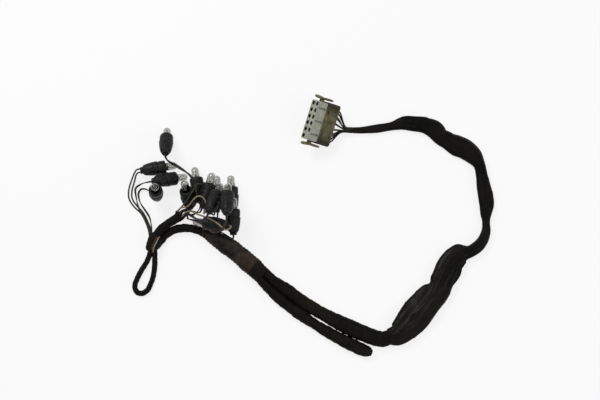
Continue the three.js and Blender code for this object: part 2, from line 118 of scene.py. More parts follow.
world = bpy.data.worlds.new("surroundings")
world.use_nodes = True
world.node_tree.nodes.clear()
tree = world.node_tree
strength = ranged(tree, seen_rays(tree), 0, 1, SKY_LIGHT, 1.0)
sky = add_node(tree, "ShaderNodeBackground", {"Color": (1, 1, 1, 1), "Strength": strength})
add_node(tree, "ShaderNodeOutputWorld", {"Surface": sky.outputs[0]})
bpy.context.scene.world = world


def soft_lamp(name, place, power, width):
    lamp = bpy.data.lights.new(name, "AREA")
    lamp.energy = power
    lamp.size = width
    holder = bpy.data.objects.new(name, lamp)
    holder.location = place
    holder.rotation_euler = (Vector(place) - VIEW_TARGET).to_track_quat("Z", "Y").to_euler()
    bpy.context.collection.objects.link(holder)


soft_lamp("upper_left_lamp", (-0.8, 0.9, 1.5), 16, 0.8)
soft_lamp("right_lamp", (1.3, -0.5, 1.2), 7, 0.9)

bpy.context.scene.view_settings.view_transform = "Standard"


# Loose sleeve
# A soft black plastic sleeve slipped over the wires from the plug round to the taped branch.
# It lies flattened, twisted nearly shut at the right, with long folds and sharp small wrinkles.
def tone(red, green, blue):
    """A colour as a paint chart gives it, 0 to 255, turned to the values that nodes use."""
    return tuple((c / 255 / 12.92) if c < 10.3 else ((c / 255 + 0.055) / 1.055) ** 2.4
                 for c in (red, green, blue)) + (1,)


def new_group(name, inputs, outputs):
    group = bpy.data.node_groups.new(name, "ShaderNodeTree")
    for label, kind in inputs:
        group.interface.new_socket(label, in_out="INPUT", socket_type=kind)
    for label, kind in outputs:
        group.interface.new_socket(label, in_out="OUTPUT", socket_type=kind)
    return group, group.nodes.new("NodeGroupInput"), group.nodes.new("NodeGroupOutput")


def mix_tones(tree, share, first, second):
    """The colour part of the way from the first to the second."""
    mix = add_node(tree, "ShaderNodeMix", {0: share, 6: first, 7: second}, data_type="RGBA")
    return mix.outputs[2]


def object_place(tree):
    return add_node(tree, "ShaderNodeTexCoord").outputs["Object"]


def noise(tree, place, scale, detail, roughness=0.5):
    return add_node(tree, "ShaderNodeTexNoise", {
        "Vector": place, "Scale": scale, "Detail": detail, "Roughness": roughness}).outputs["Fac"]


COLOUR = "NodeSocketColor"
NUMBER = "NodeSocketFloat"
SPECK_SCALE = 1400.0
SCUFF_SCALE = 260.0

# Dust lies in broad patches, thicker on what faces up, with fine specks in it
dust_group, given, out = new_group(
    "dust", [("Clean", COLOUR), ("Dust", COLOUR), ("Amount", NUMBER), ("Patch", NUMBER)],
    [("Colour", COLOUR), ("Mask", NUMBER), ("Grain", NUMBER)])
place = object_place(dust_group)
broad = noise(dust_group, place, given.outputs["Patch"], 5.0, 0.62)
fine = noise(dust_group, place, SPECK_SCALE, 3.0, 0.6)
facing = add_node(dust_group, "ShaderNodeNewGeometry")
facing_z = add_node(dust_group, "ShaderNodeSeparateXYZ", {0: facing.outputs["Normal"]})
settled = ranged(dust_group, facing_z.outputs["Z"], -0.3, 0.9, 0.45, 1.0)
patch = ranged(dust_group, broad, 0.38, 0.68)
speck = ranged(dust_group, fine, 0.3, 0.7, 0.55, 1.25)
mask = worked_out(dust_group, "MULTIPLY", patch, speck)
mask = worked_out(dust_group, "MULTIPLY", mask, settled)
mask = worked_out(dust_group, "MULTIPLY", mask, given.outputs["Amount"], use_clamp=True)
dusted = mix_tones(dust_group, mask, given.outputs["Clean"], given.outputs["Dust"])
for label, made in (("Colour", dusted), ("Mask", mask), ("Grain", fine)):
    dust_group.links.new(made, out.inputs[label])

# Scuffs are thin pale scratches and small nicks, a few across each surface
scuff_group, given, out = new_group("scuffs", [("Density", NUMBER), ("Size", NUMBER)], [("Mask", NUMBER)])
stretch = add_node(scuff_group, "ShaderNodeMapping", {
    "Vector": object_place(scuff_group), "Rotation": (0.4, 0.2, 0.9), "Scale": (1.0, 4.5, 1.6)})
lines = noise(scuff_group, stretch.outputs[0], given.outputs["Size"], 4.0, 0.75)
sharp = ranged(scuff_group, lines, 0.62, 0.72)
kept = worked_out(scuff_group, "MULTIPLY", sharp, given.outputs["Density"], use_clamp=True)
scuff_group.links.new(kept, out.inputs["Mask"])


def add_surface(tree, inputs):
    """Ends a material with a shader that has these inputs."""
    shader = add_node(tree, "ShaderNodeBsdfPrincipled", inputs)
    add_node(tree, "ShaderNodeOutputMaterial", {"Surface": shader.outputs[0]})


def worn_material(name, clean, dust, amount, patch, rough, grain, scuffs=0.0, scuff_tone=None, specular=0.5):
    """A surface with dust and scuffs over it. Rough and grain are its roughness, clean and dusty, and
    the depth of its grain. The constants sit on the shader itself."""
    material, tree = new_material(name)
    dusty = add_node(tree, "ShaderNodeGroup", node_tree=dust_group)
    for label, value in (("Clean", clean), ("Dust", dust), ("Amount", amount), ("Patch", patch)):
        dusty.inputs[label].default_value = value
    scuffed = add_node(tree, "ShaderNodeGroup", node_tree=scuff_group)
    scuffed.inputs["Density"].default_value = scuffs
    scuffed.inputs["Size"].default_value = SCUFF_SCALE
    tint = mix_tones(tree, scuffed.outputs["Mask"], dusty.outputs["Colour"], scuff_tone or dust)
    roughness = ranged(tree, dusty.outputs["Mask"], 0, 1, *rough)
    bump = add_node(tree, "ShaderNodeBump", {
        "Height": dusty.outputs["Grain"], "Strength": 1.0, "Distance": grain})
    add_surface(tree, {"Base Color": tint, "Roughness": roughness, "Normal": bump.outputs[0],
                       "Specular IOR Level": specular})
    return material


def smooth_line(rows, step):
    """A curve through rows that start with a place. What follows the place in a row changes with it."""
    rows = np.array(rows, float)
    rows = np.vstack([2 * rows[0] - rows[1], rows, 2 * rows[-1] - rows[-2]])
    line = []
    for a, b, c, d in zip(rows, rows[1:], rows[2:], rows[3:]):
        g0, g1, g2 = [max(np.linalg.norm(q[:3] - p[:3]), 1e-7) ** 0.5 for p, q in ((a, b), (b, c), (c, d))]
        start = ((b - a) / g0 - (c - a) / (g0 + g1) + (c - b) / g1) * g1
        end = ((c - b) / g1 - (d - b) / (g1 + g2) + (d - c) / g2) * g1
        count = max(2, round(float(np.linalg.norm(c[:3] - b[:3])) / step))
        for i in range(count):
            t = i / count
            bend = (3 * (c - b) - 2 * start - end) * t ** 2 + (2 * (b - c) + start + end) * t ** 3
            line.append(b + start * t + bend)
    line.append(rows[-2])
    return np.array(line)


def run_and_heading(line):
    """The distance along a line, and its direction, at each point."""
    legs = np.linalg.norm(np.diff(line[:, :3], axis=0), axis=1)
    ahead = np.gradient(line[:, :3], axis=0)
    return np.concatenate([[0], np.cumsum(legs)]), ahead / np.linalg.norm(ahead, axis=1)[:, None]


def cable_rings(stations, step, around, relief, square=1.0):
    """Rings of points round a lying cable: place, half width and half height at each station."""
    line = smooth_line(stations, step)
    run, ahead = run_and_heading(line)
    side = np.stack([ahead[:, 1], -ahead[:, 0], np.zeros(len(ahead))], axis=1)
    side /= np.linalg.norm(side, axis=1)[:, None]
    up = np.cross(side, ahead)
    turn = np.arange(around) / around * 2 * np.pi
    cos, sin = np.cos(turn)[None, :, None], np.sin(turn)[None, :, None]
    raised = relief(run[:, None], turn[None, :], line)[:, :, None]
    across = np.sign(cos) * np.abs(cos) ** square * line[:, 3][:, None, None] + cos * raised
    rise = sin * (line[:, 4][:, None, None] + raised)
    rings = line[:, None, :3] + side[:, None, :] * across + up[:, None, :] * rise
    rings[:, :, 2] = np.maximum(rings[:, :, 2], 0.00005)
    return rings, line, run


def open_mouth(rings, at_start, depth, wall=0.84):
    """Turns an end's rim inwards and lines the first part of the bore."""
    order = rings if at_start else rings[::-1]
    rim = order[0].mean(0) + (order[0] - order[0].mean(0)) * wall
    deep = order[depth].mean(0) + (order[depth] - order[depth].mean(0)) * wall * 0.92
    lined = np.concatenate([[deep, rim], order])
    return lined if at_start else lined[::-1]


def skin(rings):
    """Joins rings into one closed surface, with a middle point at each end."""
    count, around = rings.shape[:2]
    points = np.vstack([rings.reshape(-1, 3), rings[0].mean(0), rings[-1].mean(0)])
    row = np.arange(around)
    ahead = np.roll(row, -1)
    one_row = np.stack([row, row + around, ahead + around, ahead], axis=1)
    quads = [one_row + i * around for i in range(count - 1)]
    last = (count - 1) * around
    hub = count * around
    faces = [tuple(q) for q in np.concatenate(quads).tolist()]
    faces += [(hub, int(a), int(b)) for a, b in zip(row, ahead)]
    faces += [(hub + 1, int(b) + last, int(a) + last) for a, b in zip(row, ahead)]
    return points, faces


def object_of(mesh, name):
    made = bpy.data.objects.new(name, mesh)
    bpy.context.collection.objects.link(made)
    return made


def as_piece(name, mesh, material, nodes):
    """Makes a piece of the harness that stands for CAD nodes, with the material given."""
    mesh.polygons.foreach_set("use_smooth", [True] * len(mesh.polygons))
    mesh.materials.append(material)
    piece = object_of(mesh, name)
    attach(piece, "root")
    if nodes:
        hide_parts(*nodes)
    return piece


def add_piece(name, points, faces, material, slot, nodes):
    mesh = bpy.data.meshes.new(name)
    mesh.from_pydata(np.asarray(points).tolist(), [], faces)
    mesh.update()
    return as_piece(name, mesh, material, nodes)


# Each row is a place on its middle line and half its width. Half its height is its middle's height.
SLEEVE = [
    (0.0545, 0.121, 0.0036, 0.004), (0.062, 0.121, 0.0036, 0.0042), (0.084, 0.123, 0.004, 0.0055),
    (0.102, 0.126, 0.0042, 0.0056), (0.119, 0.13, 0.005, 0.0093), (0.131, 0.129, 0.0055, 0.0105),
    (0.144, 0.127, 0.0055, 0.0114), (0.156, 0.121, 0.0056, 0.0122), (0.164, 0.112, 0.006, 0.011),
    (0.174, 0.107, 0.006, 0.0125), (0.184, 0.101, 0.006, 0.0133), (0.194, 0.096, 0.006, 0.0132),
    (0.204, 0.087, 0.0062, 0.012), (0.211, 0.076, 0.0065, 0.0078), (0.214, 0.063, 0.006, 0.0078),
    (0.216, 0.05, 0.0058, 0.0093), (0.218, 0.037, 0.0056, 0.0097), (0.219, 0.025, 0.0054, 0.0093),
    (0.218, 0.014, 0.005, 0.0072), (0.218, 0.004, 0.0048, 0.0049), (0.2176, -0.008, 0.005, 0.0058),
    (0.2136, -0.0186, 0.0054, 0.007), (0.2066, -0.027, 0.0058, 0.0078), (0.198, -0.0324, 0.0062, 0.0082),
    (0.1906, -0.0344, 0.0064, 0.0102), (0.186, -0.036, 0.0065, 0.0138), (0.181, -0.0396, 0.0066, 0.015),
    (0.175, -0.046, 0.0066, 0.0155), (0.169, -0.057, 0.0066, 0.0165), (0.161, -0.07, 0.0068, 0.0152),
    (0.1554, -0.081, 0.0068, 0.016), (0.1452, -0.0924, 0.0068, 0.0186), (0.135, -0.1044, 0.0068, 0.0204),
    (0.1244, -0.1164, 0.0068, 0.02), (0.1146, -0.1276, 0.0068, 0.0176), (0.1056, -0.136, 0.0068, 0.0134),
    (0.0954, -0.1387, 0.0066, 0.01),
]
SLEEVE_LONGEST_FOLD = 0.0026
SLANT_CREASE = 0.0005
CROSS_CREASE = 0.0003


def waves(run, turn, *parts):
    """A sum of waves, each given as a size, waves along a metre, waves round, and a start."""
    return sum(size * np.sin(along * run * 2 * np.pi + round_ * turn + start)
               for size, along, round_, start in parts)


def crest(x):
    """A sharp ridge once in each unit of x, from 0 to 1."""
    return (1 - np.abs(np.sin(np.pi * x))) ** 2.2


def ridge(across, middle, width):
    """A soft ridge that runs along the sleeve, over one part of its width."""
    return np.exp(-((across - middle) / width) ** 2)


def sleeve_folds(run, turn, line):
    """Long folds, broad hollows between them, and small creases slanting over both."""
    wide = np.clip((line[:, 3][:, None] - 0.004) / 0.012, 0.12, 1.1)
    across = np.cos(turn)
    wander = waves(run, 0 * turn, (0.24, 4.1, 0, 0.4), (0.08, 11.3, 0, 1.7), (0.02, 31.0, 0, 0.3))
    second = waves(run, 0 * turn, (0.27, 3.3, 0, 2.9), (0.07, 9.9, 0, 0.8), (0.02, 27.0, 0, 2.1))
    long_fold = ridge(across, 0.25 + wander, 0.11) + 0.8 * ridge(across, -0.45 + second, 0.14)
    long_fold += 0.55 * ridge(across, -0.05 - wander * 0.8 + second * 0.5, 0.08)
    hollow = waves(run, turn, (0.35, 9.3, 2, 0.2), (0.30, 15.7, 3, 1.3), (0.2, 27.0, -2, 2.2))
    here = np.clip(waves(run, turn, (1.0, 8.1, 1, 0.9), (0.7, 19.0, -2, 2.0)), 0, 1)
    there = np.clip(waves(run, turn, (1.0, 11.7, -1, 2.6), (0.7, 23.0, 2, 0.3)), 0, 1)
    slant = crest(run * 62 + across * 0.9 + wander * 2.2) * here
    cross = crest(run * 118 - across * 1.5 + second * 3.0) * there
    shape = SLEEVE_LONGEST_FOLD * wide * (long_fold * 0.62 + hollow * 0.55 - 0.25)
    return shape + SLANT_CREASE * wide ** 0.6 * slant + CROSS_CREASE * wide ** 0.5 * cross


vinyl = worn_material("sleeve_vinyl", tone(5, 5, 5), tone(72, 65, 56), amount=0.17, patch=19.0,
                      rough=(0.27, 0.6), grain=0.00003, scuffs=0.12, scuff_tone=tone(62, 56, 48),
                      specular=0.055)

# Places where the sleeve's edge is nipped in, how deep, and how far round them
SLEEVE_NIPS = [
    ((0.1445, -0.0705), 0.0026, 0.0042),
    ((0.1925, -0.0265), 0.0012, 0.0040),
    ((0.1500, 0.1330), 0.0010, 0.0045),
    ((0.1795, 0.1145), 0.0020, 0.0050),
]
rings, line, run = cable_rings([row + row[2:3] for row in SLEEVE], step=0.0012, around=84,
                               relief=sleeve_folds, square=0.8)
for place, depth, reach in SLEEVE_NIPS:
    near = np.exp(-(np.linalg.norm(rings[:, :, :2] - place, axis=2) / reach) ** 2)
    inwards = line[:, None, :3] - rings
    rings += inwards / np.linalg.norm(inwards, axis=2, keepdims=True) * (depth * near)[:, :, None]
rings = open_mouth(rings, at_start=True, depth=8)
rings = open_mouth(rings, at_start=False, depth=5)
sleeve = add_piece("loose_sleeve", *skin(rings), vinyl, "sleeve", ["main_sleeve"])


# Taped cables
# The wires are bound with half-lapped black tape, wound by hand. The tape is old, dusty and creased,
# and brown with dirt on the thick trunk. One branch ends in a folded closed end.
TAPE_PITCH = 0.0095
TRUNK_PITCH = 0.0043
TAPE_STEP = 0.00042
TRUNK_STEP = 0.00065
TAPE_CREASE = 0.00035

# Each row is a place on the cable's middle line, half its width and half its height. After the rows
# comes the cable's diameter.
TAPED = {
    "upper_branch": ([
        (-0.0544, -0.0612, 0.0094, 0.0055, 0.0062), (-0.0465, -0.0686, 0.0084, 0.006, 0.0064),
        (-0.028, -0.082, 0.007, 0.0078, 0.0065), (-0.012, -0.094, 0.0068, 0.0077, 0.0064),
        (0.004, -0.104, 0.0067, 0.0079, 0.0064), (0.02, -0.113, 0.0066, 0.008, 0.0064),
        (0.037, -0.122, 0.0068, 0.0094, 0.0066), (0.054, -0.13, 0.0068, 0.0099, 0.0066),
        (0.07, -0.1364, 0.0068, 0.0098, 0.0066), (0.082, -0.1404, 0.0068, 0.0094, 0.0065),
        (0.089, -0.141, 0.0067, 0.0092, 0.0064), (0.0944, -0.1391, 0.0067, 0.009, 0.0063),
    ], 0.0165),
    "stub_branch": ([
        (-0.0615, -0.0686, 0.0085, 0.0054, 0.006), (-0.053, -0.0774, 0.0072, 0.006, 0.006),
        (-0.038, -0.0916, 0.0064, 0.0069, 0.006), (-0.023, -0.1034, 0.0062, 0.0069, 0.0059),
        (-0.008, -0.114, 0.0061, 0.0071, 0.0058), (0.006, -0.1234, 0.006, 0.006, 0.0057),
        (0.021, -0.1326, 0.0062, 0.0069, 0.0059), (0.036, -0.141, 0.0064, 0.0072, 0.0061),
        (0.05, -0.148, 0.0066, 0.0078, 0.0063), (0.062, -0.1534, 0.0064, 0.0075, 0.0061),
        (0.07, -0.1563, 0.0058, 0.006, 0.0054), (0.074, -0.1576, 0.0048, 0.0034, 0.0036),
    ], 0.0130),
    "trunk_wrap": ([
        (-0.1335, -0.008, 0.0068, 0.0056, 0.0058), (-0.127, -0.011, 0.008, 0.0073, 0.007),
        (-0.1205, -0.015, 0.0094, 0.0086, 0.0084),
        (-0.115, -0.0192, 0.0106, 0.0094, 0.0094), (-0.106, -0.025, 0.011, 0.0106, 0.01),
        (-0.093, -0.034, 0.0109, 0.011, 0.0106), (-0.08, -0.045, 0.0109, 0.0112, 0.0106),
        (-0.067, -0.056, 0.0106, 0.0112, 0.0102), (-0.0586, -0.0642, 0.0096, 0.0104, 0.009),
    ], None),
    "left_branch": ([
        (-0.1905, -0.0275, 0.0068, 0.0034, 0.0038), (-0.1855, -0.0214, 0.0048, 0.0036, 0.0039),
        (-0.1835, -0.0178, 0.0043, 0.0041, 0.0041),
        (-0.18, -0.0126, 0.0043, 0.0045, 0.0042), (-0.174, -0.0088, 0.0046, 0.0048, 0.0044),
        (-0.168, -0.0056, 0.0049, 0.0049, 0.0048), (-0.16, -0.0042, 0.0052, 0.005, 0.005),
        (-0.15, -0.0042, 0.0052, 0.005, 0.005), (-0.137, -0.0076, 0.0053, 0.005, 0.005),
        (-0.127, -0.012, 0.0059, 0.0052, 0.005), (-0.1172, -0.0176, 0.0068, 0.0052, 0.005),
    ], 0.0105),
    "socket_branch": ([
        (-0.1598, 0.0132, 0.0129, 0.0074, 0.0072), (-0.1642, 0.0084, 0.0116, 0.0056, 0.0056),
        (-0.173, 0.0028, 0.011, 0.0052, 0.0052), (-0.183, -0.0046, 0.011, 0.0052, 0.0052),
        (-0.1894, -0.012, 0.0102, 0.0048, 0.0049), (-0.1914, -0.0196, 0.009, 0.0043, 0.0045),
    ], None),
    "knot_wrap": ([
        (-0.1893, -0.0112, 0.0096, 0.0076, 0.007), (-0.1912, -0.016, 0.0092, 0.0085, 0.0074),
        (-0.1936, -0.0224, 0.0082, 0.0081, 0.0074), (-0.1952, -0.0268, 0.0077, 0.008, 0.0073),
        (-0.1958, -0.03, 0.0072, 0.0075, 0.0069), (-0.1958, -0.0333, 0.0066, 0.0067, 0.0062),
    ], None),
}
SOCKET_BRANCH = TAPED["socket_branch"][0]
TRUNK = TAPED["trunk_wrap"][0][3:]


def tucked(stations, at_start, at_end):
    """Runs a cable's ends straight on, inside what they go into."""
    rows = np.array(stations, float)
    first, last = rows[0].copy(), rows[-1].copy()
    first[:3] += (rows[0, :3] - rows[1, :3]) / np.linalg.norm(rows[0, :3] - rows[1, :3]) * at_start
    last[:3] += (rows[-1, :3] - rows[-2, :3]) / np.linalg.norm(rows[-1, :3] - rows[-2, :3]) * at_end
    return [*([first] if at_start else []), *rows, *([last] if at_end else [])]


def drawn_in(rings, run, at_start, at_end, least=0.62):
    """Draws an end in, as the last turn of tape does, over the length given."""
    share = np.ones(len(run))
    for length, from_end in ((at_start, run), (at_end, run[-1] - run)):
        if length:
            share *= 1 - (1 - least) * (1 - np.clip(from_end / length, 0, 1)) ** 2.2
    middle = rings.mean(axis=1, keepdims=True)
    return middle + (rings - middle) * share[:, None, None]


def tape_laps(pitch, step, uneven):
    """The relief of wound tape: each lap steps up and eases down, a little uneven and creased."""
    def relief(run, turn, line):
        winding = run / pitch + turn / (2 * np.pi)
        winding = winding + waves(run, turn, (0.10, 23.0, 0, 0.5), (0.06, 61.0, 1, 1.1))
        lap = 1 - winding % 1
        drawn = waves(run, turn, (0.35, 31.0, 2, 0.6), (0.3, 57.0, 3, 2.1), (0.25, 12.0, 1, 1.0),
                      (0.2, 90.0, -4, 0.2))
        crease = crest(run * 210 + turn * 1.6 + np.floor(winding) * 0.37)
        puckered = np.clip(waves(run, turn, (1.0, 19.0, 2, 0.4), (0.8, 43.0, -1, 2.0)), 0, 1)
        return step * (lap ** 3 * 0.7 + lap * 0.5) + uneven * drawn + TAPE_CREASE * crease * puckered
    return relief


def dirtied(material, origin, way, blot_scale, wander, layers, both_ways=False):
    """Lays tones over a material by the distance from an origin along a direction. Each layer is a
    tone, where it starts and is full, its share, and whether blots move its edge, by up to wander."""
    tree = material.node_tree
    surface = next(n for n in tree.nodes if n.bl_idname == "ShaderNodeBsdfPrincipled")
    place = object_place(tree)
    offset = add_node(tree, "ShaderNodeVectorMath", {0: place, 1: origin}, operation="SUBTRACT")
    along = add_node(tree, "ShaderNodeVectorMath", {0: offset.outputs[0], 1: way}, operation="DOT_PRODUCT")
    far = along.outputs["Value"]
    if both_ways:
        far = worked_out(tree, "ABSOLUTE", far)
    moved = ranged(tree, noise(tree, place, blot_scale, 4.0), 0, 1, -wander, wander)
    colour = surface.inputs["Base Color"].links[0].from_socket
    for laid, start, full, share, uneven in layers:
        edge = worked_out(tree, "ADD", far, moved) if uneven else far
        colour = mix_tones(tree, ranged(tree, edge, start, full, 0, share), colour, laid)
    tree.links.new(colour, surface.inputs["Base Color"])


black_tape = worn_material("black_tape", tone(8, 8, 7), tone(48, 42, 34), amount=0.30, patch=34.0,
                           rough=(0.45, 0.86), grain=0.00007, scuffs=0.30, scuff_tone=tone(64, 54, 42),
                           specular=0.05)
dusty_tape = worn_material("dusty_trunk_tape", tone(12, 11, 11), tone(74, 68, 60), amount=0.68, patch=70.0,
                           rough=(0.6, 0.92), grain=0.00014, scuffs=0.8, scuff_tone=tone(88, 60, 40),
                           specular=0.07)

# Brown dirt lies near the trunk's lower end, and its last stretch is nearly clean black tape
TRUNK_WAY = (0.75, -0.66, 0)
dirtied(dusty_tape, (0, 0, 0), TRUNK_WAY, 160.0, 0.030, [
    (tone(70, 52, 41), -0.046, -0.030, 0.38, True),
    (tone(11, 11, 10), -0.020, -0.016, 0.9, False),
])

# How far an end runs on inside what it goes into, and over what length an end is drawn in
TUCKED = {"upper_branch": (0.008, 0.010), "stub_branch": (0.008, 0), "left_branch": (0, 0.008),
          "socket_branch": (0, 0.006)}
DRAWN_IN = {"trunk_wrap": (0.005, 0.006), "knot_wrap": (0.007, 0.003), "socket_branch": (0.002, 0)}
for name, (stations, declared) in TAPED.items():
    tape, pitch, step, uneven = black_tape, TAPE_PITCH, TAPE_STEP, 0.00035
    if name == "trunk_wrap":
        tape, pitch, step, uneven = dusty_tape, TRUNK_PITCH, TRUNK_STEP, 0.0006
    rings, line, run = cable_rings(tucked(stations, *TUCKED.get(name, (0, 0))), step=0.0008, around=44,
                                   relief=tape_laps(pitch, step, uneven))
    rings = drawn_in(rings, run, *DRAWN_IN.get(name, (0, 0)))
    piece = add_piece(f"taped_{name}", *skin(rings), tape, "tape", [name])


# Taped loop
# The spare end of one branch, bound in black tape like the others. It is doubled back on itself
# below the knot, and both its ends are taped in under the knot's wrap.
LOOP_R = 0.0032
LOOP_PITCH = 0.0066
TAPE_LOOP = [
    (-0.198, -0.034, 0.0046), (-0.202, -0.045, 0.0036), (-0.208, -0.055, 0.0034),
    (-0.214, -0.067, 0.0034), (-0.2165, -0.076, 0.0034), (-0.2144, -0.0826, 0.0034),
    (-0.2086, -0.085, 0.0034), (-0.201, -0.081, 0.0034), (-0.197, -0.073, 0.0034),
    (-0.194, -0.063, 0.0034), (-0.1926, -0.05, 0.0036), (-0.1927, -0.034, 0.0046),
]
stations = tucked([row + (LOOP_R, LOOP_R) for row in TAPE_LOOP], at_start=0.005, at_end=0.005)
rings, line, run = cable_rings(stations, step=0.0007, around=28,
                               relief=tape_laps(LOOP_PITCH, step=0.0003, uneven=0.00018))
loop = add_piece("taped_loop", *skin(rings), black_tape, "tape", ["tape_loop"])


# Plug
# A twelve-way plug moulded in dull grey plastic. Two rows of round cavities hold the terminals.
# A wider rear cover with dirt on it closes the wires in, and a sprung latch lever stands at each end.
PLUG_ROWS = 6
PLUG_PITCH = 0.00835
PLUG_END = 0.0041
PLUG_LONG = (PLUG_ROWS - 1) * PLUG_PITCH + 2 * PLUG_END
PLUG_THICK = 0.0156
FRONT_DEPTH = 0.014
REAR_DEPTH = 0.0186
REAR_LIP = 0.0017
CAVITY_R = 0.00255
CAVITY_DEPTH = 0.011
LEAD_IN_DEPTH = 0.0008
PLUG_FACE = Vector((-0.0005, 0.1279, 0.033))
FANS = [row - (PLUG_ROWS - 1) / 2 for row in range(PLUG_ROWS)]
CAVITIES = [(fan * PLUG_PITCH, side * PLUG_PITCH / 2) for fan in FANS for side in (-1, 1)]


def aimed(place, heading, rise, roll=0.0):
    """A frame at a place whose Z looks along a heading and a rise, rolled about that line."""
    h, r = math.radians(heading), math.radians(rise)
    nose = Vector((math.cos(h) * math.cos(r), math.sin(h) * math.cos(r), math.sin(r)))
    level = Vector((-math.sin(h), math.cos(h), 0))
    above = nose.cross(level)
    turned = Matrix((level, above, nose)).transposed().to_4x4()
    return Matrix.Translation(place) @ turned @ Matrix.Rotation(math.radians(roll), 4, "Z")


def form_object(name, form, centre):
    mesh = bpy.data.meshes.new(name)
    bmesh.ops.translate(form, vec=centre, verts=form.verts)
    form.to_mesh(mesh)
    form.free()
    return object_of(mesh, name)


def box_object(name, size, centre, corner=0.0):
    """A block. Its four edges along Z are cut back where a corner is given."""
    form = bmesh.new()
    bmesh.ops.create_cube(form, size=1.0)
    bmesh.ops.scale(form, vec=size, verts=form.verts)
    if corner:
        upright = [e for e in form.edges if abs(e.verts[0].co.z - e.verts[1].co.z) > size[2] / 2]
        bmesh.ops.bevel(form, geom=upright, offset=corner, segments=1, affect="EDGES")
    return form_object(name, form, centre)


def peg_object(name, radii, height, centre, sides=32):
    """A round peg along Z: its radius at the bottom and at the top."""
    form = bmesh.new()
    bmesh.ops.create_cone(form, cap_ends=True, segments=sides, radius1=radii[0], radius2=radii[1],
                          depth=height)
    return form_object(name, form, centre)


def moulded(name, body, joined, cut, bevel, material, nodes):
    """Joins and cuts blocks, rounds the edges, and puts the result in the plug's place as one piece."""
    for operation, tools in (("UNION", joined), ("DIFFERENCE", cut)):
        for tool in tools:
            step = body.modifiers.new(operation.lower(), "BOOLEAN")
            step.operation = operation
            step.solver = "EXACT"
            step.object = tool
    rounded = body.modifiers.new("rounded", "BEVEL")
    rounded.width = bevel
    rounded.segments = 3
    rounded.limit_method = "ANGLE"
    rounded.angle_limit = math.radians(38)
    rounded.use_clamp_overlap = True
    final = bpy.data.meshes.new_from_object(body.evaluated_get(bpy.context.evaluated_depsgraph_get()))
    final.transform(plug_place)
    for used in [body, *joined, *cut]:
        bpy.data.objects.remove(used)
    final.name = name
    final.materials.clear()
    piece = as_piece(name, final, material, nodes)
    final.set_sharp_from_angle(angle=math.radians(35))
    return piece


plug_place = aimed(PLUG_FACE, heading=172.8, rise=37.4, roll=-17)
front_back = -FRONT_DEPTH
plug_grey = worn_material("plug_plastic", tone(166, 168, 154), tone(100, 96, 74), amount=0.55, patch=120.0,
                          rough=(0.5, 0.85), grain=0.00003, scuffs=0.4, scuff_tone=tone(190, 190, 174),
                          specular=0.35)
cover_grey = worn_material("dirty_cover_plastic", tone(108, 103, 79), tone(46, 41, 26), amount=0.95,
                           patch=110.0, rough=(0.6, 0.9), grain=0.00006, scuffs=0.5,
                           scuff_tone=tone(130, 124, 98), specular=0.2)
lever_brown = worn_material("aged_lever_plastic", tone(116, 106, 80), tone(38, 32, 22), amount=0.95,
                            patch=120.0, rough=(0.5, 0.85), grain=0.00004, scuffs=0.4,
                            scuff_tone=tone(150, 138, 108), specular=0.25)

front = box_object("front", (PLUG_LONG, PLUG_THICK, FRONT_DEPTH), (0, 0, -FRONT_DEPTH / 2), corner=0.0016)
cut = [box_object("face_dish", (PLUG_LONG - 0.0022, PLUG_THICK - 0.0022, 0.001), (0, 0, 0.0002))]
for along, across in CAVITIES:
    cut.append(peg_object("cavity", (CAVITY_R, CAVITY_R), CAVITY_DEPTH + 0.001,
                          (along, across, 0.0005 - CAVITY_DEPTH / 2)))
    cut.append(peg_object("lead_in", (CAVITY_R - 0.0002, CAVITY_R + 0.0006), LEAD_IN_DEPTH,
                          (along, across, -LEAD_IN_DEPTH / 2)))
for slot in (-2, 0, 2):
    cut.append(box_object("slot", (0.0022, 0.006, 0.0115),
                          (slot * PLUG_PITCH, PLUG_THICK / 2, front_back + 0.00675)))
    cut.append(box_object("rib_gap", (0.0011, 0.0012, 0.009),
                          ((slot + 1) * PLUG_PITCH, -PLUG_THICK / 2, front_back + 0.0052)))

plug_front = moulded("plug_front", front, [], cut, 0.0003, plug_grey, ["connector_housing"])

# Painted shade: a dark material on the faces deep inside the cavities stands in for the shade that falls
# there
painted_shade = worn_material("cavity_painted_shade", tone(46, 43, 34), tone(24, 21, 16), amount=0.8, patch=150.0,
                      rough=(0.7, 0.9), grain=0.00003, specular=0.1)
plug_front.data.materials.append(painted_shade)
# The faces deep inside each cavity take the dark painted-shade material
for side in plug_front.data.polygons:
    inside = plug_place.inverted() @ side.center
    column = inside.x / PLUG_PITCH - round(inside.x / PLUG_PITCH - 0.5) - 0.5
    off = math.hypot(column * PLUG_PITCH, abs(inside.y) - PLUG_PITCH / 2)
    if off < CAVITY_R + 0.00005 and -CAVITY_DEPTH - 0.001 < inside.z < -0.0011:
        side.material_index = 1

# A lever is a paddle, thick and bowed outwards at its front. Each row is the distance along the
# plug, how far out its middle is, half its thickness and half its width.
LEVER_OUT = PLUG_LONG / 2 + 0.0045
LEVER = [
    (-0.0243, 0.0004, 0.0005, 0.0026), (-0.0235, 0.0004, 0.001, 0.0037), (-0.0215, 0.0002, 0.0013, 0.0042),
    (-0.0175, 0.0001, 0.0014, 0.0045), (-0.0125, 0.0, 0.0014, 0.0043), (-0.008, 0.0001, 0.0015, 0.0043),
    (-0.005, 0.0003, 0.0018, 0.0045), (-0.001, 0.0006, 0.0019, 0.0043), (0.001, 0.0009, 0.0015, 0.0036),
    (0.0022, 0.001, 0.0006, 0.0022),
]
LEVER_SIDES = 24


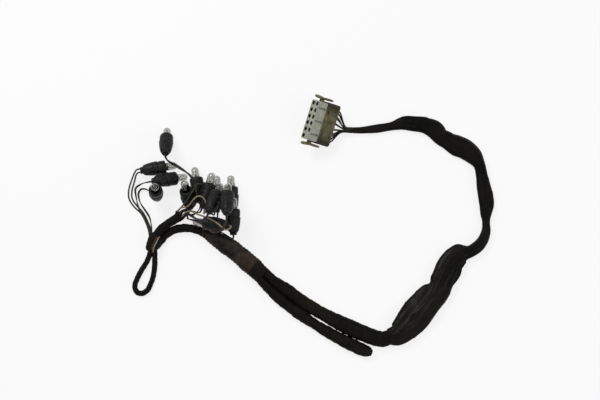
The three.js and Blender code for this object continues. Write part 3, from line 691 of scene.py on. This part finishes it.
def paddle_object(name, out, rows):
    """A flat rounded bar along Z whose thickness changes along it. Out is 1 or -1, the side it faces."""
    turn = np.linspace(0, 2 * np.pi, LEVER_SIDES, False)
    cos = np.sign(np.cos(turn)) * np.abs(np.cos(turn)) ** 0.6
    sin = np.sign(np.sin(turn)) * np.abs(np.sin(turn)) ** 0.6
    level = np.ones(LEVER_SIDES)
    points, faces = skin(np.array([
        np.stack([out * (LEVER_OUT + middle) + half * cos, -wide * sin, z * level], axis=1)
        for z, middle, half, wide in rows]))
    mesh = bpy.data.meshes.new(name)
    mesh.from_pydata(points.tolist(), [], faces)
    return object_of(mesh, name)


for number, end in enumerate((-1, 1), 1):
    lever = paddle_object("lever", end, LEVER)
    reach = LEVER_OUT - PLUG_LONG / 2 + 0.001
    joined = [box_object("stem", (reach, 0.007, 0.0026),
                         (end * (PLUG_LONG / 2 + reach / 2 - 0.001), 0, -0.0085))]
    for rib in range(4):
        joined.append(box_object("grip", (0.0008, 0.0066, 0.0008),
                                 (end * (LEVER_OUT + 0.0013), 0, -0.0150 - rib * 0.0017)))
    moulded(f"latch_lever_{number}", lever, joined, [], 0.0002, lever_brown, [])

cover_size = (PLUG_LONG + 2 * REAR_LIP, PLUG_THICK + 2 * REAR_LIP, REAR_DEPTH)
cover_middle = front_back - REAR_DEPTH / 2
cover_back = front_back - REAR_DEPTH
cover = box_object("cover", cover_size, (0, 0, cover_middle), corner=0.0024)
cut = [box_object("front_seat", (PLUG_LONG - 0.0001, PLUG_THICK - 0.0001, 0.0012), (0, 0, front_back))]
for face in (-1, 1):
    cut.append(box_object("panel", (PLUG_LONG - 0.007, 0.0012, REAR_DEPTH - 0.0075),
                          (0, face * cover_size[1] / 2, cover_middle - 0.0005)))
    for catch in (-1.5, 1.5):
        cut.append(box_object("catch", (0.0052, 0.003, 0.0032),
                              (catch * PLUG_PITCH * 1.1, face * cover_size[1] / 2, front_back - 0.0026)))
for along, across in CAVITIES:
    cut.append(peg_object("wire_hole", (0.0021, 0.0021), 0.008, (along, across, cover_back)))
moulded("plug_cover", cover, [], cut, 0.00035, cover_grey, [])

# Old dirt has darkened the cover's two ends, unevenly
dirtied(cover_grey, tuple(PLUG_FACE), tuple(plug_place.col[0][:3]), 210.0, 0.005, [
    (tone(30, 26, 16), PLUG_LONG / 2 - 0.0105, PLUG_LONG / 2 - 0.0025, 0.85, True),
], both_ways=True)


# Terminals
# Folded from thin tinned brass, one stands back inside each cavity, open at its mouth. It is
# pushed in from behind, on the end of its wire.
TERMINAL_HALF = 0.00125
TERMINAL_WALL = 0.0003
TERMINAL_MOUTH = -0.0068
tin, tree = new_material("tinned_brass")
tarnish = ranged(tree, noise(tree, object_place(tree), 900.0, 4.0), 0.4, 0.65)
add_surface(tree, {"Base Color": mix_tones(tree, tarnish, tone(110, 96, 68), tone(54, 46, 32)),
                   "Roughness": ranged(tree, tarnish, 0, 1, 0.3, 0.6), "Metallic": 1.0})

# The outside from its back to its mouth, then the inside from its mouth to its floor
TERMINAL_RINGS = [(TERMINAL_HALF, -0.0105), (TERMINAL_HALF, TERMINAL_MOUTH),
                  (TERMINAL_HALF - TERMINAL_WALL, TERMINAL_MOUTH), (TERMINAL_HALF - TERMINAL_WALL, -0.0098)]


def together(*skins):
    """Puts several closed skins into one mesh."""
    points, faces = [], []
    for more, sides in skins:
        faces += [tuple(i + len(points) for i in face) for face in sides]
        points += [tuple(p) for p in np.asarray(more)]
    return points, faces


skins = []
for along, across in CAVITIES:
    rings = [[plug_place @ Vector((along + x * half, across + y * half, depth))
              for x, y in ((1, 1), (1, -1), (-1, -1), (-1, 1))] for half, depth in TERMINAL_RINGS]
    skins.append(skin(np.array(rings)))
terminals = add_piece("plug_terminals", *together(*skins), tin, "plug", [])
terminals.data.polygons.foreach_set("use_smooth", [False] * len(terminals.data.polygons))


# Wires behind the plug
# Two thin wires with plastic insulation leave each row of the cover and gather into the sleeve's
# mouth. They end inside it, out of sight.
WIRE_R = 0.00095
SLEEVE_MOUTH = Vector((0.0541, 0.121, 0.0037))
WIRE_STEP = 0.00062
WIRE_LAYER = 0.00175


def carried_sides(ahead):
    """A direction square to a line at each point, turned as little as can be from the one before."""
    side = np.cross(ahead[0], (0, 0, 1))
    if np.linalg.norm(side) < 0.1:
        side = np.cross(ahead[0], (0, 1, 0))
    sides = []
    for heading in ahead:
        side = side - heading * side.dot(heading)
        side /= np.linalg.norm(side)
        sides.append(side)
    return np.array(sides)


def strand(line, radius, sides=12, aside=0.0, pitch=1.0, start=0.0):
    """Rings round one wire. Where it lies aside of the line, it turns round the line once in each pitch."""
    run, ahead = run_and_heading(line)
    side = carried_sides(ahead)
    up = np.cross(side, ahead)
    phase = (2 * np.pi * run / pitch + start)[:, None]
    middle = line[:, :3] + aside * (np.cos(phase) * side + np.sin(phase) * up)
    turn = (np.arange(sides) / sides * 2 * np.pi)[None, :, None]
    return middle[:, None] + radius * (np.cos(turn) * side[:, None] + np.sin(turn) * up[:, None])


# Each insulation: its slot, tone and dust, how much dust in what patches, its roughness and shine
INSULATION = {
    "black": ("black_wire", tone(15, 15, 14), tone(60, 52, 42), 0.35, 160.0, (0.42, 0.8), 0.14),
    "dusty_black": ("black_wire", tone(26, 25, 23), tone(92, 86, 78), 0.75, 120.0, (0.5, 0.85), 0.12),
    "brown": ("brown_wire", tone(56, 37, 29), tone(60, 53, 44), 0.5, 160.0, (0.45, 0.8), 0.2),
    "green": ("green_wire", tone(36, 50, 38), tone(56, 56, 46), 0.5, 160.0, (0.45, 0.8), 0.2),
    "tan": ("tan_wire", tone(140, 130, 110), tone(84, 76, 62), 0.55, 160.0, (0.5, 0.85), 0.2),
    "blue": ("blue_wire", tone(24, 31, 50), tone(52, 51, 50), 0.45, 160.0, (0.42, 0.8), 0.2),
}
WIRE_FINISH = {name: (worn_material(f"{name}_insulation", *worn, grain=0.00002, specular=shine), slot)
               for name, (slot, *worn, shine) in INSULATION.items()}
ROW_FINISH = {1: "green", 3: "brown"}

for row, fan in enumerate(FANS):
    wires = []
    for across in (-1, 1):
        start = plug_place @ Vector((fan * PLUG_PITCH, across * PLUG_PITCH / 2, cover_back + 0.003))
        clear = plug_place @ Vector((fan * PLUG_PITCH * 0.94, across * PLUG_PITCH * 0.36,
                                     cover_back - 0.005))
        order = 2 * row + (across > 0)
        shift = Vector((0, (5.5 - order) * WIRE_STEP, (order % 3 - 1) * WIRE_LAYER))
        gather = Vector((0.0412 - fan * 0.0013, 0.121, 0.0062)) + shift * 1.2
        near = SLEEVE_MOUTH + shift + Vector((-0.002, 0, 0.0004))
        deep = SLEEVE_MOUTH + shift * 0.8 + Vector((0.006, 0, 0))
        line = smooth_line([start, clear, gather, near, deep], step=0.0012)
        wires.append(skin(strand(line, WIRE_R, sides=10)))
    add_piece(f"plug_wires_{row + 1}", *together(*wires), *WIRE_FINISH[ROW_FINISH.get(row, "black")],
              [f"connector_wires_{row + 1}"])


# Bulb holders
# Each is a soft rubber boot, moulded in one piece: a collar round the mouth, a groove and a ring
# behind it, and a body that narrows to a short tail where its two wires come out.
HOLDER_LONG = 0.032

# Each row is the middle of a holder's mouth, and where the mouth faces: its heading and its rise
HOLDERS = [
    ((-0.1801, 0.111, 0.0114), 92, -35),
    ((-0.1806, 0.0727, 0.0091), 9, -2),
    ((-0.1669, 0.0581, 0.0105), 13, -23),
    ((-0.1894, 0.0384, 0.039), 75, 81),
    ((-0.1526, 0.0392, 0.0334), 100, 55),
    ((-0.1426, 0.0585, 0.009), 100, -5),
    ((-0.1246, 0.0483, 0.0246), 76, 1),
    ((-0.1167, 0.0472, 0.0091), 90, -2),
    ((-0.0987, 0.0472, 0.0105), 93, 5),
    ((-0.1144, 0.035, 0.0368), 72, -27),
    ((-0.1009, 0.0318, 0.0488), 90, -30),
    ((-0.131, 0.0, 0.0243), 171, -12),
    ((-0.0951, 0.0169, 0.0236), 90, 17),
]

# Radius and height, from the tail to the mouth and down into the bore
HOLDER_PROFILE = [
    (3.4, -32.0), (4.1, -31.85), (4.4, -31.4), (4.4, -29.6), (4.6, -28.9), (5.4, -28.2), (6.2, -27.6),
    (6.7, -26.4), (7.4, -23.6), (8.0, -20.4), (8.45, -17.2), (8.7, -14.9), (8.42, -14.65), (8.38, -14.25),
    (8.74, -13.95), (8.9, -13.5), (8.9, -10.4), (8.74, -10.0), (8.1, -9.85), (7.9, -9.6), (7.9, -8.8),
    (8.1, -8.5), (8.4, -8.35), (8.5, -8.0), (8.5, -2.2), (8.4, -1.4), (8.0, -0.6), (7.5, -0.12), (7.1, 0.0),
    (6.7, -0.05), (6.5, -0.5),
    (6.2, -0.6), (6.0, -0.15), (5.6, 0.0), (5.3, -0.25), (5.12, -0.9), (5.1, -11.0),
]
MILLIMETRE = 0.001


def turned(profile, sides, place):
    """A form turned about its own axis, from its tail to its mouth, put in place."""
    turn = np.arange(sides) / sides * 2 * np.pi
    rings = [[(r * math.cos(t), -r * math.sin(t), z) for t in turn] for r, z in profile]
    points, faces = skin(np.array(rings) * MILLIMETRE)
    return [tuple(place @ Vector(p)) for p in points], faces


rubber = worn_material("holder_rubber", tone(12, 13, 14), tone(60, 59, 56), amount=0.32, patch=130.0,
                       rough=(0.34, 0.75), grain=0.00004, scuffs=0.3, scuff_tone=tone(66, 64, 60),
                       specular=0.13)
for number, (at, heading, rise) in enumerate(HOLDERS, 1):
    place = aimed(Vector(at), heading, rise, number * 47)
    add_piece(f"rubber_holder_{number}", *turned(HOLDER_PROFILE, 48, place), rubber, "rubber",
              [f"bulb_holder_{number}"])


# Bulbs
# Clear capless wedge bulbs. Thin glass with a round top holds two stiff support wires, joined by a
# glass bead, and a coiled filament hangs between their tips.
GLASS_R = 4.8
GLASS_WALL = 0.45
GLASS_OUT = 14.5
GLASS_BASE = -9.0

glass, tree = new_material("bulb_glass")
haze = noise(tree, object_place(tree), 300.0, 4.0)
add_surface(tree, {"Base Color": tone(204, 204, 201),
                   "Roughness": ranged(tree, haze, 0.35, 0.75, 0.01, 0.10),
                   "Transmission Weight": 1.0, "IOR": 1.5, "Metallic": 0.0})

support_metal, tree = new_material("support_wire")
stain = noise(tree, object_place(tree), 700.0, 3.0)
shade = mix_tones(tree, stain, tone(150, 132, 110), tone(104, 76, 54))
add_surface(tree, {"Base Color": shade, "Roughness": 0.35, "Metallic": 0.9})


def dome(radius, top):
    """The profile of a half ball, from its rim to its top."""
    steps = 9
    turns = [i / steps * math.pi / 2 for i in range(steps + 1)]
    return [(max(radius * math.cos(t), 0.05), top - radius + radius * math.sin(t)) for t in turns]


outer = [(GLASS_R - 1.1, GLASS_BASE), (GLASS_R - 0.3, GLASS_BASE + 0.5), (GLASS_R, GLASS_BASE + 1.4)]
outer += dome(GLASS_R, GLASS_OUT)
inner = dome(GLASS_R - GLASS_WALL, GLASS_OUT - GLASS_WALL)[::-1] + [(GLASS_R - GLASS_WALL, GLASS_BASE + 2.4)]

# The supports of one bulb: two posts, the filament between them and the bead that joins them
POST = [(0.0012, -0.0062), (0.0013, -0.001), (0.0016, 0.004), (0.0022, 0.0078), (0.0021, 0.0092)]
POST_R = 0.00034
FILAMENT_HALF = 0.0021
FILAMENT_TURNS = 9
FILAMENT_R = 0.00032
FILAMENT_RISE = 0.0007
BEAD_R = 0.0008
BEAD_WIDE = 1.9
parts = []
for end in (-1, 1):
    post = smooth_line([(end * out, 0, up) for out, up in POST], step=0.0008)
    parts.append(skin(strand(post, POST_R, sides=8)))
across = np.linspace(-FILAMENT_HALF, FILAMENT_HALF, FILAMENT_TURNS * 10 + 1)
round_ = np.linspace(0, FILAMENT_TURNS * 2 * np.pi, FILAMENT_TURNS * 10 + 1)
arch = FILAMENT_RISE * np.cos(across / FILAMENT_HALF * np.pi / 2)
coil = np.stack([across, FILAMENT_R * np.cos(round_), 0.0090 + FILAMENT_R * np.sin(round_) + arch], axis=1)
parts.append(skin(strand(coil, radius=0.00009, sides=5)))
bead = [(max(BEAD_R * math.sin(t), 1e-5), 0.0024 - 0.0013 * math.cos(t)) for t in np.linspace(0, np.pi, 9)]
circle = np.linspace(0, 2 * np.pi, 16, False)
parts.append(skin(np.array([
    [(r * BEAD_WIDE * math.cos(t), -r * math.sin(t), z) for t in circle] for r, z in bead])))
points, faces = together(*parts)

for number, (at, heading, rise) in enumerate(HOLDERS, 1):
    place = aimed(Vector(at), heading, rise, number * 71)
    add_piece(f"bulb_glass_{number}", *turned(outer + inner, 32, place), glass, "bulb_glass",
              [f"bulb_{number}"])
    placed = [tuple(place @ Vector(p)) for p in points]
    add_piece(f"bulb_supports_{number}", placed, faces, support_metal, "bulb_glass", [])


# Leads
# A pair of thin wires, loosely twisted, runs from most holders' tails into a taped cable's end.
# Two single wires leave the second holder. Three more, one green and two tan, cross over the heap.
SOCKET_RING = 0.0059
TRUNK_RING = 0.0058
PAIR_PITCH = 0.058

# Up to this radius a lead is a single wire
SINGLE_R = 0.0011

# Each has its holder, radius, finish, how far aside it starts, the cable whose end it enters, if any,
# its turn in the ring of wires there, and the places between
LEADS = [
    ("lead_1", 0, 0.002, "dusty_black", 0.0, "socket", 84, [
        (-0.1764, 0.0766, 0.0306), (-0.1674, 0.0716, 0.027), (-0.158, 0.066, 0.025), (-0.15, 0.06, 0.025),
        (-0.143, 0.051, 0.0254), (-0.1404, 0.04, 0.0254), (-0.1406, 0.029, 0.0254), (-0.144, 0.021, 0.023)]),
    ("lead_2_outer", 1, 0.001, "dusty_black", 0.0022, None, None, [
        (-0.2234, 0.0574, 0.004), (-0.2274, 0.043, 0.002), (-0.2264, 0.033, 0.0016),
        (-0.2196, 0.023, 0.0016), (-0.212, 0.016, 0.0016), (-0.206, 0.006, 0.002),
        (-0.2006, -0.008, 0.004), (-0.1992, -0.0206, 0.005)]),
    ("lead_2_inner", 1, 0.001, "dusty_black", -0.0022, None, None, [
        (-0.22, 0.055, 0.004), (-0.2234, 0.042, 0.002), (-0.2226, 0.0336, 0.0016), (-0.217, 0.0252, 0.0016),
        (-0.2096, 0.0174, 0.0016), (-0.2036, 0.0072, 0.002), (-0.1982, -0.0076, 0.004),
        (-0.1969, -0.0209, 0.005)]),
    ("lead_3", 2, 0.0013, "dusty_black", 0.0, None, None, [
        (-0.205, 0.05, 0.022), (-0.213, 0.0488, 0.012), (-0.2184, 0.0456, 0.006), (-0.2174, 0.035, 0.0044),
        (-0.2144, 0.023, 0.0046), (-0.21, 0.015, 0.0048), (-0.2044, 0.0056, 0.005), (-0.1996, -0.008, 0.007),
        (-0.1984, -0.0206, 0.0078)]),
    ("lead_4", 3, 0.0013, "dusty_black", 0.0, None, None, [
        (-0.194, 0.035, 0.003), (-0.203, 0.0446, 0.0024), (-0.2116, 0.046, 0.0024), (-0.215, 0.0406, 0.002),
        (-0.2124, 0.0284, 0.0018), (-0.2062, 0.0192, 0.0018), (-0.2002, 0.0096, 0.0026),
        (-0.197, -0.006, 0.0076), (-0.1971, -0.012, 0.0102), (-0.1968, -0.0209, 0.0105)]),
    ("lead_5", 4, 0.0013, "black", 0.0, "socket", 290, [
        (-0.1505, 0.0156, 0.0028), (-0.1535, 0.0155, 0.0046)]),
    ("lead_6", 5, 0.0013, "black", 0.0, "socket", 250, [
        (-0.138, 0.018, 0.0125), (-0.144, 0.0125, 0.0105), (-0.15, 0.012, 0.0095)]),
    ("lead_7", 6, 0.0013, "black", 0.0016, "socket", None, [
        (-0.137, 0.012, 0.024), (-0.143, 0.014, 0.021)]),
    ("lead_8", 7, 0.0013, "black", -0.0016, "trunk", 90, [
        (-0.116, 0.004, 0.011), (-0.119, -0.005, 0.014), (-0.122, -0.011, 0.0166)]),
    ("lead_9", 8, 0.0013, "black", 0.0, "trunk", 172, [
        (-0.099, 0.003, 0.0075), (-0.106, -0.005, 0.009), (-0.113, -0.01, 0.013)]),
    ("lead_10", 9, 0.0017, "blue", 0.0, "socket", 158, [
        (-0.127, 0.0, 0.05), (-0.133, -0.001, 0.044), (-0.14, 0.003, 0.036), (-0.1475, 0.009, 0.026)]),
    ("lead_11", 10, 0.0013, "brown", 0.0, "socket", 199, [
        (-0.102, -0.007, 0.062), (-0.107, -0.013, 0.052), (-0.115, -0.015, 0.044), (-0.124, -0.011, 0.038),
        (-0.132, -0.004, 0.035), (-0.14, 0.001, 0.032), (-0.1474, 0.0034, 0.0266),
        (-0.1518, 0.0068, 0.016)]),
    ("lead_12", 11, 0.001, "tan", 0.0, "socket", 128, [
        (-0.099, -0.009, 0.033), (-0.104, -0.011, 0.037), (-0.11, -0.006, 0.04), (-0.118, 0.0, 0.0385),
        (-0.128, 0.005, 0.036), (-0.138, 0.009, 0.031), (-0.1475, 0.0142, 0.025)]),
    ("lead_13", 12, 0.0013, "black", 0.0, "trunk", 130, [
        (-0.098, -0.019, 0.02), (-0.104, -0.015, 0.022), (-0.111, -0.011, 0.019)]),
    ("green_wire", 7, 0.001, "green", 0.0022, "socket", -18, [
        (-0.121, 0.012, 0.009), (-0.128, 0.022, 0.008), (-0.129, 0.034, 0.008), (-0.1286, 0.041, 0.009),
        (-0.132, 0.046, 0.016), (-0.1356, 0.048, 0.0216), (-0.1396, 0.047, 0.029), (-0.142, 0.04, 0.0364),
        (-0.1466, 0.033, 0.0376), (-0.1532, 0.0241, 0.0312)]),
    ("tan_wire", 6, 0.001, "tan", -0.0022, "socket", 34, [
        (-0.13, 0.01, 0.03), (-0.127, 0.018, 0.036), (-0.131, 0.029, 0.0364), (-0.138, 0.031, 0.036),
        (-0.144, 0.026, 0.034), (-0.1508, 0.0199, 0.0268)]),
]


def ring_seat(stations, ring, turn, back):
    """A place in the ring of wires in front of a cable's end, or in its middle where no turn is given."""
    first = Vector(stations[0][:3])
    ahead = (Vector(stations[1][:3]) - first).normalized()
    side = Vector((ahead.y, -ahead.x, 0)).normalized()
    up = side.cross(ahead)
    seat = first - ahead * back
    if turn is None:
        return seat
    angle = math.radians(turn)
    return seat + ring * (math.cos(angle) * side + math.sin(angle) * up)


def eased(line, rounds=6):
    """Rounds a line's tight corners off, with its two ends left where they are."""
    line = line.copy()
    for _ in range(rounds):
        line[1:-1] = (line[:-2] + 2 * line[1:-1] + line[2:]) / 4
    return line


for name, holder, radius, finish, offset, ring, turn, via in LEADS:
    at, heading, rise = HOLDERS[holder]
    place = aimed(Vector(at), heading, rise)
    points = [place @ Vector((offset, 0, back)) for back in (-HOLDER_LONG + 0.002, -HOLDER_LONG - 0.004)]
    points += [Vector(p) for p in via]
    if ring:
        cable, spread = (SOCKET_BRANCH, SOCKET_RING) if ring == "socket" else (TRUNK, TRUNK_RING)
        points += [ring_seat(cable, spread, turn, back) for back in (0.004, -0.002)]
    line = eased(smooth_line(points, step=0.0011))
    run = run_and_heading(line)[0]
    if radius > SINGLE_R:
        half = radius / 2
        wires = [skin(strand(line, half * 0.98, 10, half, PAIR_PITCH, start))
                 for start in (0.4, 0.4 + math.pi)]
    else:
        wires = [skin(strand(line, radius))]
    lead = add_piece(f"wire_{name}", *together(*wires), *WIRE_FINISH[finish], [name])


# Bare ends at the knot
# Two old wires with plastic insulation, one tan and one brown, show where the tape round the knot
# has come away. Their ends go back under the tape.
KNOT_WIRES = [("tan", 0.0009, 0.0), ("brown", 0.0008, 0.0019)]
KNOT_ROUTE = [
    (-0.1852, -0.013, 0.009), (-0.1862, -0.0158, 0.0128), (-0.1874, -0.0182, 0.0154),
    (-0.1894, -0.0225, 0.0154), (-0.1916, -0.027, 0.0149), (-0.1934, -0.0312, 0.014),
    (-0.1942, -0.0345, 0.0085),
]
for name, radius, aside in KNOT_WIRES:
    line = smooth_line([(x - aside, y + aside * 0.4, z + aside * 0.35) for x, y, z in KNOT_ROUTE], 0.0011)
    add_piece(f"knot_wire_{name}", *skin(strand(line, radius)), *WIRE_FINISH[name], [])
